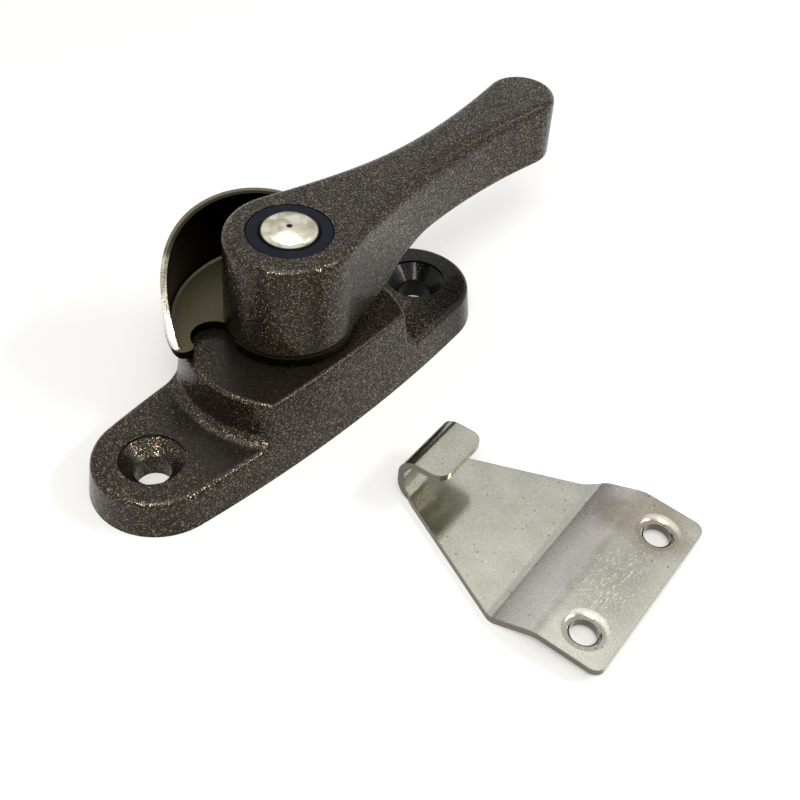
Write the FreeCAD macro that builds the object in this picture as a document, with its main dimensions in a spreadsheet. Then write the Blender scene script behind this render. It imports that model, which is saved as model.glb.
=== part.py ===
"""Crescent lock and its keeper, built as separate pieces (millimetres).

The lock bolts a sliding sash. Its lever turns a cup-shaped cam, whose crescent wall sweeps behind
the hook of the keeper on the other sash and draws the two together.

+X runs along the base towards the end of the lever, +Y towards the crescent and +Z away from the
mounting face. The origin lies on that face, midway between the two screw holes.
"""
import FreeCAD
import Part
import math
import os
import re
import Sketcher

from FreeCAD import Placement, Rotation, Vector

DOWN = Vector(0, 0, -1)
UP = Vector(0, 0, 1)

# lengths that differ by less than this count as equal
NEAR = 1e-3

SIZES = {
    # how far a cut runs past the face it opens
    "cut_margin": 1.0,
    # base casting
    "screw_pitch": 55.0,
    "screw_hole_radius": 2.6,
    "screw_rim_radius": 4.6,
    "screw_lip": 0.45,
    "screw_cone_height": 1.9,
    "base_end_centre": 26.5,
    "base_end_radius": 9.7,
    "base_side_radius": 230.0,
    "base_draft": 7.0,
    "flange_top": 5.7,
    "flange_edge_round": 0.9,
    "block_top": 12.3,
    "block_end_radius": 17.3,
    "block_foot_round": 1.8,
    "block_edge_round": 0.6,
    "cavity_end_centre": 7.8,
    "cavity_end_radius": 7.0,
    "cavity_side_radius": 60.0,
    "cavity_roof": 8.5,
    # pivot
    "pivot_offset": 1.0,
    "journal_radius": 3.0,
    "running_fit": 0.05,
    "bush_radius": 4.4,
    "bush_flange_radius": 6.4,
    "bush_flange_bottom": 7.7,
    "key_radius": 3.6,
    "key_flat": 3.05,
    "tail_flat": 2.3,
    "head_radius": 4.15,
    "head_bottom": 26.0,
    "head_top": 29.72,
    "head_dome_radius": 24.9,
    "head_edge_round": 0.8,
    "head_dimple_radius": 0.4,
    "head_dimple_depth": 0.35,
    "rivet_head_radius": 3.3,
    "rivet_crown_radius": 2.3,
    "rivet_head_bottom": 3.7,
    "rivet_head_edge": 4.1,
    # washers
    "washer_radius": 8.2,
    "washer_bore": 3.3,
    "washer_top": 12.75,
    "spring_disc_outer": 4.9,
    "spring_disc_bore": 3.15,
    "spring_disc_sheet": 0.3,
    "spring_disc_rise": 0.1,
    "backing_radius": 4.6,
    "backing_bottom": 4.6,
    "backing_top": 5.2,
    # index cam and its leaf spring
    "index_radius": 5.3,
    "index_flat": 5.0,
    "index_top": 6.85,
    "leaf_sheet": 0.5,
    "leaf_gap": 0.1,
    "leaf_bottom": 5.0,
    "leaf_top": 7.4,
    "leaf_foot_start": -12.4,
    "leaf_foot_end": -7.6,
    "leaf_end": 8.0,
    "leaf_foot_width": 6.4,
    "leaf_rivet_x": -10.0,
    "leaf_rivet_inner": -1.4,
    "leaf_rivet_outer": -4.1,
    "leaf_rivet_radius": 0.8,
    "leaf_rivet_head": 1.2,
    "leaf_rivet_crown": 0.72,
    "leaf_rivet_head_height": 0.7,
    "leaf_rivet_depth": 1.5,
    # crescent cam, whose own +X points at the highest place of its wall
    "cam_bottom": 12.8,
    "cam_sheet": 1.2,
    "cam_radius": 17.8,
    "cam_disc_radius": 9.4,
    "cam_wall": 0.85,
    "cam_crest_angle": 84.0,
    "cam_tail_angle": -57.0,
    "cam_lead_angle": 80.0,
    "cam_crest_height": 24.65,
    "cam_rim_radius": 38.0,
    "cam_rim_start": 3.7,
    "cam_bend_radius": 0.6,
    "cam_outer_round": 1.0,
    "cam_notch_centre": 11.6,
    "cam_notch_angle": 74.0,
    "cam_notch_radius": 3.2,
    "cam_tip_round": 1.1,
    "cam_tip_outer_round": 1.8,
    "cam_rim_clearance": 0.4,
    # lever
    "lever_top": 28.9,
    "hub_radius": 9.2,
    "lever_draft": 0.8,
    "lever_length": 52.0,
    "lever_tip_radius": 5.4,
    "lever_waist_radius": 105.0,
    "lever_underside": 18.3,
    "lever_neck_start": 9.0,
    "lever_neck_middle": 16.6,
    "lever_neck_height": 15.9,
    "lever_neck_end": 26.0,
    "lever_neck_sweep": 15.5,
    "lever_neck_round": 21.0,
    "lever_hub_round": 1.0,
    "lever_arm_round": 2.4,
    "lever_arm_round_x": 24.0,
    "lever_tip_round": 1.2,
    "lever_under_round": 0.8,
    "collar_radius": 6.1,
    "collar_bottom": 24.9,
    "collar_chamfer": 0.25,
    # keeper, in its own frame: origin between its screw holes, +Y towards its hook
    "keeper_x": 2.2,
    "keeper_y": -57.3,
    "keeper_turn": 5.35,
    "keeper_sheet": 1.0,
    "keeper_pitch": 20.0,
    "keeper_left": -14.55,
    "keeper_right": 15.1,
    "keeper_end": -4.8,
    "keeper_corner_round": 1.6,
    "keeper_end_height": 1.77,
    "keeper_step": 2.42,
    "keeper_step_start": 4.6,
    "keeper_step_end": 11.1,
    "keeper_step_round": 4.0,
    "keeper_left_shoulder": 11.0,
    "keeper_right_shoulder": 10.4,
    "keeper_waist_x": 12.95,
    "keeper_waist_y": 13.0,
    "keeper_shoulder_round": 4.0,
    "keeper_hook_left": -4.35,
    "keeper_hook_right": 5.9,
    "keeper_taper_left": 31.0,
    "keeper_taper_right": 31.2,
    "keeper_hook_reach": 32.9,
    "keeper_hook_height": 7.9,
    "keeper_lower_bend": 3.4,
    "keeper_upper_bend": 3.0,
    "keeper_lip_end": 25.75,
    "keeper_lip_round": 2.0,
    "keeper_hole_radius": 1.9,
    "keeper_dimple_radius": 3.2,
    "keeper_dimple_neck": 2.6,
    "keeper_dimple_foot": 3.7,
    "keeper_dimple_depth": 0.9,
    "keeper_seat_round": 1.6,
}

# values that follow from the sizes above
DERIVED = {
    "head_dome_centre": "=head_top - sqrt(head_dome_radius^2 - head_dimple_radius^2)",
    "head_rim": "=head_dome_centre"
                " + sqrt((head_dome_radius - head_edge_round)^2 - (head_radius - head_edge_round)^2)",
    "head_crown_share": "=head_dome_radius / (head_dome_radius - head_edge_round)",
    "head_crown_radius": "=(head_radius - head_edge_round) * head_crown_share",
    "head_shoulder": "=head_dome_centre + (head_rim - head_dome_centre) * head_crown_share",
    "cam_top": "=cam_bottom + cam_sheet",
    "cam_inner_radius": "=cam_radius - cam_wall",
    "cam_tip_lean": "=asin(cam_tip_outer_round / (cam_radius - cam_tip_outer_round)) / 1 deg",
    "cam_tip_reach": "=(cam_radius - cam_tip_outer_round) * cos(cam_tip_lean * 1 deg)",
    "index_bottom": "=backing_top",
    "leaf_face": "=index_radius + leaf_gap",
    "leaf_back": "=leaf_face + leaf_sheet",
    "leaf_foot_bottom": "=cavity_roof - leaf_sheet",
}

doc = FreeCAD.newDocument("crescent_lock")
sheet = doc.addObject("Spreadsheet::Sheet", "Sizes")
for row, (alias, value) in enumerate({**SIZES, **DERIVED}.items(), start=1):
    sheet.set(f"A{row}", alias.replace("_", " "))
    sheet.set(f"B{row}", str(value))
    sheet.setAlias(f"B{row}", alias)
doc.recompute()


def size(expression):
    """The value of an expression in the sheet's names, such as "hub_radius + 1"."""
    return float(sheet.evalExpression(expression))


def linked(expression):
    """The same expression as other objects write it, with the sheet's name before each alias."""
    def with_sheet(match):
        word = match.group(0)
        return "Sizes." + word if word in SIZES or word in DERIVED else word
    return re.sub("[a-z_]+", with_sheet, expression)


def bind(target, prop, expression):
    """Ties a property to the sheet."""
    target.setExpression(prop, linked(expression))


def piece(name):
    """A body that takes its file's name from its label."""
    body = doc.addObject("PartDesign::Body", name)
    body.Label = name
    return body


def sketch_on(body, role, name, height=None):
    """A sketch on one of the body's own origin planes, moved along the plane's normal."""
    plane = next(feature for feature in body.Origin.OriginFeatures if feature.Role == role)
    sketch = body.newObject("Sketcher::SketchObject", name)
    sketch.AttachmentSupport = (plane, [""])
    sketch.MapMode = "FlatFace"
    if height:
        bind(sketch, "AttachmentOffset.Base.z", height)
    return sketch


def constrain(sketch, expression, kind, *where):
    """Adds a dimension and ties it to the sheet."""
    index = sketch.addConstraint(Sketcher.Constraint(kind, *where, size(expression)))
    bind(sketch, f"Constraints[{index}]", expression)


def settled(sketch):
    """Stops the build where a sketch doesn't solve or keeps a freedom."""
    if sketch.solve() != 0 or not sketch.FullyConstrained:
        raise RuntimeError(f"sketch {sketch.Name} isn't settled")
    return sketch


def circle(sketch, radius, x=None, y=None):
    """A circle of a named radius, at the sketch's origin unless x or y say otherwise."""
    centre = Vector(size(x) if x else 0, size(y) if y else 0, 0)
    index = sketch.addGeometry(Part.Circle(centre, UP, size(radius)))
    constrain(sketch, radius, "Radius", index)
    place_point(sketch, index, 3, x, y)
    return index


def place_point(sketch, index, end, x, y):
    """Fixes a point by its two coordinates; a missing one means that it lies on the axis."""
    if x is None and y is None:
        sketch.addConstraint(Sketcher.Constraint("Coincident", index, end, -1, 1))
        return
    if x is None:
        sketch.addConstraint(Sketcher.Constraint("PointOnObject", index, end, -2))
    else:
        constrain(sketch, x, "DistanceX", -1, 1, index, end)
    if y is None:
        sketch.addConstraint(Sketcher.Constraint("PointOnObject", index, end, -1))
    else:
        constrain(sketch, y, "DistanceY", -1, 1, index, end)


def arc_between(start, end, radius):
    """The arc from start to end whose centre lies to the left of the way for a positive radius."""
    chord = end - start
    middle = (start + end) / 2
    left = Vector(-chord.y, chord.x, 0).normalize()
    reach = math.sqrt(max(radius * radius - chord.Length ** 2 / 4, 0))
    centre = middle + left * math.copysign(reach, radius)
    first, last = (start, end) if radius > 0 else (end, start)
    low = math.atan2(first.y - centre.y, first.x - centre.x)
    high = math.atan2(last.y - centre.y, last.x - centre.x)
    return Part.ArcOfCircle(Part.Circle(centre, UP, abs(radius)), low, high)


def outline(sketch, *corners):
    """A closed outline through corners (x, y) or (x, y, radius), each value an expression or None.

    A radius makes the edge that arrives at the corner an arc: counter-clockwise, or clockwise where
    the radius starts with a minus. None for x or y puts the corner on that axis.
    """
    points = [Vector(size(c[0]) if c[0] else 0, size(c[1]) if c[1] else 0, 0) for c in corners]
    edges = []
    for number, corner in enumerate(corners):
        start, end = points[number - 1], points[number]
        if len(corner) == 2:
            index = sketch.addGeometry(Part.LineSegment(start, end))
            edges.append((index, 1, 2))
            continue
        clockwise = corner[2].startswith("-")
        radius = corner[2].lstrip("-")
        signed = -size(radius) if clockwise else size(radius)
        index = sketch.addGeometry(arc_between(start, end, signed))
        edges.append((index, 2, 1) if clockwise else (index, 1, 2))
        constrain(sketch, radius, "Radius", index)
    for number, corner in enumerate(corners):
        arriving = edges[number]
        leaving = edges[(number + 1) % len(edges)]
        sketch.addConstraint(
            Sketcher.Constraint("Coincident", arriving[0], arriving[2], leaving[0], leaving[1]))
        place_point(sketch, arriving[0], arriving[2], corner[0], corner[1])
    return settled(sketch)


def round_ended(sketch, left, left_radius, right, right_radius, side_radius, waisted=False, split=None):
    """Two round ends on the X axis joined by long side arcs tangent to both, bulging or waisted.

    Each side arc is divided in two at the X that split names.
    """
    sign = 1 if waisted else -1
    x1, x2 = (size(left) if left else 0), size(right)
    r1, r2, side = size(left_radius), size(right_radius), size(side_radius)
    d1, d2 = side + sign * r1, side + sign * r2
    centre_x = (d1 * d1 - d2 * d2 + x2 * x2 - x1 * x1) / (2 * (x2 - x1))
    centre_y = sign * math.sqrt(d1 * d1 - (centre_x - x1) ** 2)
    centres = Vector(centre_x, centre_y, 0), Vector(centre_x, -centre_y, 0)
    ends = Vector(x1, 0, 0), Vector(x2, 0, 0)
    touch = [[centre + (end - centre).normalize() * side for end in ends] for centre in centres]

    def arc(centre, radius, start, end):
        angles = [math.atan2(p.y - centre.y, p.x - centre.x) for p in (start, end)]
        return sketch.addGeometry(Part.ArcOfCircle(Part.Circle(centre, UP, radius), *angles))

    left_arc = arc(ends[0], r1, touch[0][0], touch[1][0])
    right_arc = arc(ends[1], r2, touch[1][1], touch[0][1])
    if waisted:
        runs = [(touch[0], (left_arc, 1), (right_arc, 2)), (touch[1][::-1], (right_arc, 1), (left_arc, 2))]
    else:
        runs = [(touch[0][::-1], (right_arc, 2), (left_arc, 1)), (touch[1], (left_arc, 2), (right_arc, 1))]
    radii = [(left_arc, left_radius), (right_arc, right_radius)]
    for centre, (stops, before, after) in zip(centres, runs):
        if split:
            reach = math.sqrt(side * side - (size(split) - centre.x) ** 2)
            middle = Vector(size(split), centre.y + math.copysign(reach, stops[0].y - centre.y), 0)
            stops = [stops[0], middle, stops[1]]
        arcs = [arc(centre, side, start, end) for start, end in zip(stops, stops[1:])]
        radii += [(index, side_radius) for index in arcs]
        sketch.addConstraint(Sketcher.Constraint("Tangent", *before, arcs[0], 1))
        sketch.addConstraint(Sketcher.Constraint("Tangent", *after, arcs[-1], 2))
        if split:
            sketch.addConstraint(Sketcher.Constraint("Tangent", arcs[0], 2, arcs[1], 1))
            constrain(sketch, split, "DistanceX", -1, 1, arcs[0], 2)
    place_point(sketch, left_arc, 3, left, None)
    place_point(sketch, right_arc, 3, right, None)
    for index, radius in radii:
        constrain(sketch, radius, "Radius", index)
    return settled(sketch)


def double_d(sketch, radius, flat):
    """A round with two flats, as a keyed shaft or its hole has."""
    half = f"sqrt(({radius})^2 - ({flat})^2)"
    return outline(
        sketch,
        (half, f"-({flat})"),
        (half, flat, radius),
        (f"-{half}", flat),
        (f"-{half}", f"-({flat})", radius))


def built(feature):
    """Recomputes, and stops the build at a feature that fails."""
    doc.recompute()
    if not feature.isValid():
        raise RuntimeError(f"{feature.Name} failed: {feature.getStatusString()}")
    return feature


def pad(body, sketch, length, taper=None, downwards=False):
    """Adds the sketch as a prism."""
    feature = body.newObject("PartDesign::Pad", sketch.Name + "_pad")
    feature.Profile = sketch
    bind(feature, "Length", length)
    if taper:
        bind(feature, "TaperAngle", taper)
    feature.Reversed = downwards
    return built(feature)


def pocket(body, sketch, length=None, upwards=False):
    """Cuts the sketch to a depth, or right through on both sides where no depth is given."""
    before = body.Shape.Volume
    feature = body.newObject("PartDesign::Pocket", sketch.Name + "_cut")
    feature.Profile = sketch
    if length:
        bind(feature, "Length", length)
        feature.Reversed = upwards
    else:
        feature.Type = "ThroughAll"
        feature.Midplane = True
    built(feature)
    if body.Shape.Volume > before - NEAR:
        raise RuntimeError(f"{feature.Name} cuts nothing")
    return feature


def turn(body, sketch, cut=False):
    """Revolves the sketch about the body's own Z axis."""
    kind = "PartDesign::Groove" if cut else "PartDesign::Revolution"
    feature = body.newObject(kind, sketch.Name + "_turned")
    feature.Profile = sketch
    feature.ReferenceAxis = (sketch, ["V_Axis"])
    feature.Angle = 360
    return built(feature)


def round_edges(body, radius, wanted):
    """Rounds the edges that the test picks."""
    tip = body.Tip
    names = [f"Edge{number}" for number, edge in enumerate(tip.Shape.Edges, start=1) if wanted(edge)]
    if not names:
        raise RuntimeError(f"no edge of {body.Label} to round by {radius}")
    feature = body.newObject("PartDesign::Fillet", f"{body.Name}_{radius}")
    feature.Base = (tip, names)
    bind(feature, "Radius", radius)
    return built(feature)


def turned(name, *corners):
    """A turned piece on the pivot's axis, from its half section (radius, height)."""
    body = piece(name)
    turn(body, outline(sketch_on(body, "XZ_Plane", name + "_section"), *corners))
    return body


def on_pivot(body):
    """Moves a piece that was drawn about its own Z axis to the lock's pivot."""
    bind(body, "Placement.Base.y", "pivot_offset")
    return body


def level(edge, height):
    """True for an edge that lies in the horizontal plane at this height."""
    box = edge.BoundBox
    return abs(box.ZMin - height) < NEAR and abs(box.ZMax - height) < NEAR


def from_axis(edge):
    """The distance of an edge's middle from the Z axis."""
    return math.hypot(edge.CenterOfMass.x, edge.CenterOfMass.y)


def make_base():
    """The die-cast base: flange, block, screw seats and the cavity for the mechanism."""
    body = piece("base")
    outside = round_ended(
        sketch_on(body, "XY_Plane", "base_outline"),
        "-base_end_centre", "base_end_radius", "base_end_centre", "base_end_radius", "base_side_radius")
    pad(body, outside, "block_top", "-base_draft")

    # both ends are turned down to the flange, which leaves the block with round end walls and feet
    lean = "(block_top + cut_margin - flange_top) * tan(base_draft * 1 deg)"
    reach = "block_foot_round * tan((90 - base_draft) / 2 * 1 deg)"
    turn(body, outline(
        sketch_on(body, "XZ_Plane", "block_ends"),
        (f"block_end_radius + {reach}", "flange_top", "block_foot_round"),
        ("screw_pitch", "flange_top"),
        ("screw_pitch", "block_top + cut_margin"),
        (f"block_end_radius - {lean}", "block_top + cut_margin"),
        (f"block_end_radius - {reach} * sin(base_draft * 1 deg)",
         f"flange_top + {reach} * cos(base_draft * 1 deg)")), cut=True)
    flange, top = size("flange_top"), size("block_top")
    foot = size("block_end_radius + block_foot_round")
    round_edges(body, "flange_edge_round", lambda edge: level(edge, flange) and from_axis(edge) > foot)
    round_edges(body, "block_edge_round", lambda edge: level(edge, top))

    # two countersunk screw holes, with a short straight lip above each cone
    for name, radius, height, depth, taper in (
            ("screw_holes", "screw_hole_radius", None, "flange_top", None),
            ("screw_cones", "screw_rim_radius", "flange_top - screw_lip", "screw_cone_height",
             "-atan((screw_rim_radius - screw_hole_radius) / screw_cone_height)"),
            ("screw_lips", "screw_rim_radius", "flange_top - screw_lip", "screw_lip + cut_margin", None)):
        sketch = sketch_on(body, "XY_Plane", name, height)
        circle(sketch, radius, "screw_pitch / 2")
        circle(sketch, radius, "-screw_pitch / 2")
        cut = pocket(body, sketch, depth, upwards=taper is None)
        if taper:
            bind(cut, "TaperAngle", taper)
            doc.recompute()

    cavity = round_ended(
        sketch_on(body, "XY_Plane", "cavity_outline"),
        "-cavity_end_centre", "cavity_end_radius", "cavity_end_centre", "cavity_end_radius",
        "cavity_side_radius")
    pocket(body, cavity, "cavity_roof", upwards=True)
    bore = sketch_on(body, "XY_Plane", "bush_bore")
    circle(bore, "bush_radius", None, "pivot_offset")
    pocket(body, bore, "block_top", upwards=True)
    rivet_holes = sketch_on(body, "XY_Plane", "rivet_holes", "cavity_roof")
    for place in ("leaf_rivet_inner", "leaf_rivet_outer"):
        circle(rivet_holes, "leaf_rivet_radius", "leaf_rivet_x", f"pivot_offset + {place}")
    pocket(body, rivet_holes, "leaf_rivet_depth", upwards=True)
    return body


def make_pivot_bush():
    """Flanged bush pressed up into the base; the pin's journal turns in it."""
    bore = "journal_radius + running_fit"
    return turned(
        "pivot_bush",
        (bore, "bush_flange_bottom"),
        ("bush_flange_radius", "bush_flange_bottom"),
        ("bush_flange_radius", "cavity_roof"),
        ("bush_radius", "cavity_roof"),
        ("bush_radius", "block_top"),
        (bore, "block_top"))


def make_thrust_washer():
    """Thin ring on which the cam turns over the block."""
    return turned(
        "thrust_washer",
        ("washer_bore", "block_top"),
        ("washer_radius", "block_top"),
        ("washer_radius", "washer_top"),
        ("washer_bore", "washer_top"))


def make_disc_springs():
    """Two shallow conical spring washers that meet at their inner edges and take up the end play."""
    step = "spring_disc_rise + spring_disc_sheet"
    lower = turned(
        "lower_disc_spring",
        ("spring_disc_outer", "index_top"),
        ("spring_disc_outer", "index_top + spring_disc_sheet"),
        ("spring_disc_bore", f"index_top + {step}"),
        ("spring_disc_bore", "index_top + spring_disc_rise"))
    upper = turned(
        "upper_disc_spring",
        ("spring_disc_bore", f"index_top + {step}"),
        ("spring_disc_outer", f"index_top + {step} + spring_disc_rise"),
        ("spring_disc_outer", f"index_top + 2 * ({step})"),
        ("spring_disc_bore", f"index_top + {step} + spring_disc_sheet"))
    return grouped("disc_springs", [on_pivot(lower), on_pivot(upper)])


def make_backing_washer():
    """Keyed washer under the pin's riveted end."""
    body = turned(
        "backing_washer",
        (None, "backing_bottom"),
        ("backing_radius", "backing_bottom"),
        ("backing_radius", "backing_top"),
        (None, "backing_top"))
    cut_key_hole(body, "backing_top", "journal_radius", "tail_flat", "backing_top - backing_bottom")
    return body


def make_index_cam():
    """Plate with two flats that face the leaf spring when the lever is home at either end."""
    body = piece("index_cam")
    index_outline = sketch_on(body, "XY_Plane", "index_outline", "index_bottom")
    disc = double_d(index_outline, "index_radius", "index_flat")
    pad(body, disc, "index_top - index_bottom")
    cut_key_hole(body, "index_top", "journal_radius", "tail_flat", "index_top - index_bottom")
    return body


def cut_key_hole(body, top, radius, flat, depth, turned_by=None):
    """Cuts a two-flat hole with a sliding fit down from a face."""
    hole = sketch_on(body, "XY_Plane", body.Name + "_key_hole", top)
    if turned_by:
        bind(hole, "AttachmentOffset.Rotation.Angle", turned_by)
    double_d(hole, f"{radius} + running_fit", f"{flat} + running_fit")
    pocket(body, hole, depth)


def make_detent_spring():
    """Leaf spring: an upright blade beside the index cam, with a foot riveted under the block."""
    body = piece("detent_spring")
    blade = outline(
        sketch_on(body, "XZ_Plane", "blade_outline", "leaf_face"),
        ("leaf_foot_start", "leaf_bottom"),
        ("leaf_end", "leaf_bottom"),
        ("leaf_end", "leaf_top"),
        ("leaf_foot_end", "leaf_top"),
        ("leaf_foot_end", "cavity_roof"),
        ("leaf_foot_start", "cavity_roof"))
    pad(body, blade, "leaf_sheet")
    foot = outline(
        sketch_on(body, "XY_Plane", "foot_outline", "leaf_foot_bottom"),
        ("leaf_foot_start", "-leaf_back"),
        ("leaf_foot_end", "-leaf_back"),
        ("leaf_foot_end", "leaf_foot_width - leaf_back"),
        ("leaf_foot_start", "leaf_foot_width - leaf_back"))
    pad(body, foot, "leaf_sheet")
    holes = sketch_on(body, "XY_Plane", "leaf_rivet_holes", "cavity_roof")
    for place in ("leaf_rivet_inner", "leaf_rivet_outer"):
        circle(holes, "leaf_rivet_radius", "leaf_rivet_x", place)
    pocket(body, holes, "leaf_sheet")
    return body


def make_spring_rivets():
    """The two rivets that hold the leaf spring's foot."""
    rivets = []
    for place in ("leaf_rivet_inner", "leaf_rivet_outer"):
        rivet = turned(
            place.replace("leaf_rivet", "rivet"),
            (None, "leaf_foot_bottom - leaf_rivet_head_height"),
            ("leaf_rivet_crown", "leaf_foot_bottom - leaf_rivet_head_height"),
            ("leaf_rivet_head", "leaf_foot_bottom - leaf_rivet_head_height / 2"),
            ("leaf_rivet_head", "leaf_foot_bottom"),
            ("leaf_rivet_radius", "leaf_foot_bottom"),
            ("leaf_rivet_radius", "cavity_roof + leaf_rivet_depth"),
            (None, "cavity_roof + leaf_rivet_depth"))
        bind(rivet, "Placement.Base.x", "leaf_rivet_x")
        bind(rivet, "Placement.Base.y", f"pivot_offset + {place}")
        rivets.append(rivet)
    return grouped("spring_rivets", rivets)


def grouped(name, members):
    """Separate equal solids that share one file."""
    group = doc.addObject("Part::Compound", name)
    group.Label = name
    group.Links = members
    return group


def make_pivot_pin():
    """Turned pin: domed head, keyed shank, round journal, keyed tail and riveted end."""
    body = piece("pivot_pin")
    turn(body, outline(
        sketch_on(body, "XZ_Plane", "head_section"),
        (None, "head_bottom"),
        ("head_radius", "head_bottom"),
        ("head_radius", "head_rim"),
        ("head_crown_radius", "head_shoulder", "head_edge_round"),
        ("head_dimple_radius", "head_top", "head_dome_radius"),
        (None, "head_top - head_dimple_depth")))
    shank = double_d(sketch_on(body, "XY_Plane", "shank_outline", "cam_bottom"), "key_radius", "key_flat")
    pad(body, shank, "head_bottom - cam_bottom")
    journal = sketch_on(body, "XY_Plane", "journal_outline", "index_top")
    circle(journal, "journal_radius")
    pad(body, journal, "cam_bottom - index_top")
    tail_outline = sketch_on(body, "XY_Plane", "tail_outline", "backing_bottom")
    tail = double_d(tail_outline, "journal_radius", "tail_flat")
    pad(body, tail, "index_top - backing_bottom")
    turn(body, outline(
        sketch_on(body, "XZ_Plane", "rivet_section"),
        (None, "rivet_head_bottom"),
        ("rivet_crown_radius", "rivet_head_bottom"),
        ("rivet_head_radius", "rivet_head_edge"),
        ("rivet_head_radius", "backing_bottom"),
        (None, "backing_bottom")))
    return body


def make_pin_collar():
    """Moulded ring that fills the hub's counterbore round the pin's head."""
    bore = "head_radius + running_fit"
    return turned(
        "pin_collar",
        ("key_radius + running_fit", "collar_bottom"),
        ("collar_radius", "collar_bottom"),
        ("collar_radius", "lever_top - collar_chamfer"),
        ("collar_radius - collar_chamfer", "lever_top"),
        (f"{bore} + collar_chamfer", "lever_top"),
        (bore, "lever_top - collar_chamfer"),
        (bore, "head_bottom"),
        ("key_radius + running_fit", "head_bottom"))


def polar(radius, angle):
    """The two coordinates of a point given by radius and angle."""
    return f"({radius}) * cos(({angle}) * 1 deg)", f"({radius}) * sin(({angle}) * 1 deg)"


def make_crescent_cam():
    """Pressed cup: keyed floor, notched leading end and a wall whose rim falls away as a crescent."""
    body = piece("crescent_cam")
    disc = sketch_on(body, "XY_Plane", "cam_disc", "cam_bottom")
    circle(disc, "cam_disc_radius")
    pad(body, disc, "cam_sheet")
    floor = outline(
        sketch_on(body, "XY_Plane", "cam_floor", "cam_bottom"),
        polar("cam_radius", "cam_tail_angle"),
        (*polar("cam_radius", "cam_lead_angle"), "cam_radius"),
        polar("journal_radius", "cam_lead_angle"),
        polar("journal_radius", "cam_tail_angle"))
    pad(body, floor, "cam_sheet")
    notch = sketch_on(body, "XY_Plane", "cam_notch", "cam_top")
    circle(notch, "cam_notch_radius", *polar("cam_notch_centre", "cam_notch_angle"))
    pocket(body, notch, "cam_sheet")
    round_edges(body, "cam_tip_round", lambda edge: upright(edge) and at_lead_end(edge))

    wall = outline(
        sketch_on(body, "XY_Plane", "cam_wall", "cam_bottom"),
        polar("cam_radius", "cam_tail_angle"),
        (*polar("cam_radius", "cam_lead_angle"), "cam_radius"),
        polar("cam_inner_radius", "cam_lead_angle"),
        (*polar("cam_inner_radius", "cam_tail_angle"), "-cam_inner_radius"))
    pad(body, wall, "cam_crest_height + cam_sheet - cam_bottom")
    inner, outer = size("cam_inner_radius"), size("cam_radius")
    bottom, floor_top = size("cam_bottom"), size("cam_top")
    round_edges(body, "cam_bend_radius", lambda edge: level(edge, floor_top) and arc_of(edge, inner))
    round_edges(body, "cam_outer_round", lambda edge: level(edge, bottom) and arc_of(edge, outer))
    above_rim = outline(
        sketch_on(body, "XZ_Plane", "above_rim"),
        ("cam_rim_start", "cam_top"),
        ("cam_radius + cam_sheet", "cam_crest_height + cam_rim_clearance", "-cam_rim_radius"),
        ("cam_radius + cam_sheet", "2 * cam_crest_height"),
        ("-cam_radius", "2 * cam_crest_height"),
        ("-cam_radius", "cam_top"))
    pocket(body, above_rim)
    past_tip = outline(
        sketch_on(body, "XY_Plane", "past_tip"),
        (*polar("cam_radius", "cam_lead_angle - cam_tip_lean"), "-cam_tip_outer_round"),
        polar("cam_radius + cam_sheet", "cam_lead_angle - cam_tip_lean"),
        polar("cam_radius + cam_sheet", "cam_lead_angle + cam_tip_lean"),
        polar("cam_tip_reach", "cam_lead_angle + cam_tip_lean"),
        polar("cam_tip_reach", "cam_lead_angle"))
    pocket(body, past_tip)
    cut_key_hole(body, "cam_top", "key_radius", "key_flat", "cam_sheet", "-cam_crest_angle")
    bind(body, "Placement.Rotation.Angle", "cam_crest_angle")
    return body


def at_lead_end(edge):
    """True for an edge of the cam's leading end on the outer side of its notch."""
    middle = edge.CenterOfMass
    angle = math.degrees(math.atan2(middle.y, middle.x))
    outer_side = size("cam_notch_centre") < from_axis(edge) < size("cam_tip_reach")
    return abs(angle - size("cam_lead_angle")) < 1 and outer_side


def arc_of(edge, radius):
    """True for a circular edge of this radius."""
    return isinstance(edge.Curve, Part.Circle) and abs(edge.Curve.Radius - radius) < NEAR


def straight(edge):
    """True for a straight edge."""
    return isinstance(edge.Curve, Part.Line)


def upright(edge):
    """True for a straight edge along Z."""
    box = edge.BoundBox
    return box.XLength < NEAR and box.YLength < NEAR


def make_lever():
    """Die-cast lever: round hub, waisted arm and flared thumb end."""
    body = piece("lever_casting")
    plan = round_ended(
        sketch_on(body, "XY_Plane", "lever_plan", "lever_top"),
        None, "hub_radius", "lever_length", "lever_tip_radius", "lever_waist_radius",
        waisted=True, split="lever_arm_round_x")
    pad(body, plan, "lever_top - cam_top", "lever_draft", downwards=True)
    underneath = outline(
        sketch_on(body, "XZ_Plane", "lever_underneath"),
        ("lever_neck_start", "cam_top"),
        ("lever_neck_middle", "lever_neck_height", "lever_neck_sweep"),
        ("lever_neck_end", "lever_underside", "-lever_neck_round"),
        ("2 * lever_length", "lever_underside"),
        ("2 * lever_length", "cam_bottom"),
        ("lever_neck_start", "cam_bottom"))
    pocket(body, underneath)
    seat = sketch_on(body, "XY_Plane", "collar_seat", "lever_top")
    circle(seat, "collar_radius")
    pocket(body, seat, "lever_top - collar_bottom")
    cut_key_hole(body, "collar_bottom", "key_radius", "key_flat", "collar_bottom - cam_top")
    on_pivot(body)
    for feature in body.Group:
        if hasattr(feature, "Refine"):
            feature.Refine = False
    doc.recompute()
    return lever_rounds(body)


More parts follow.
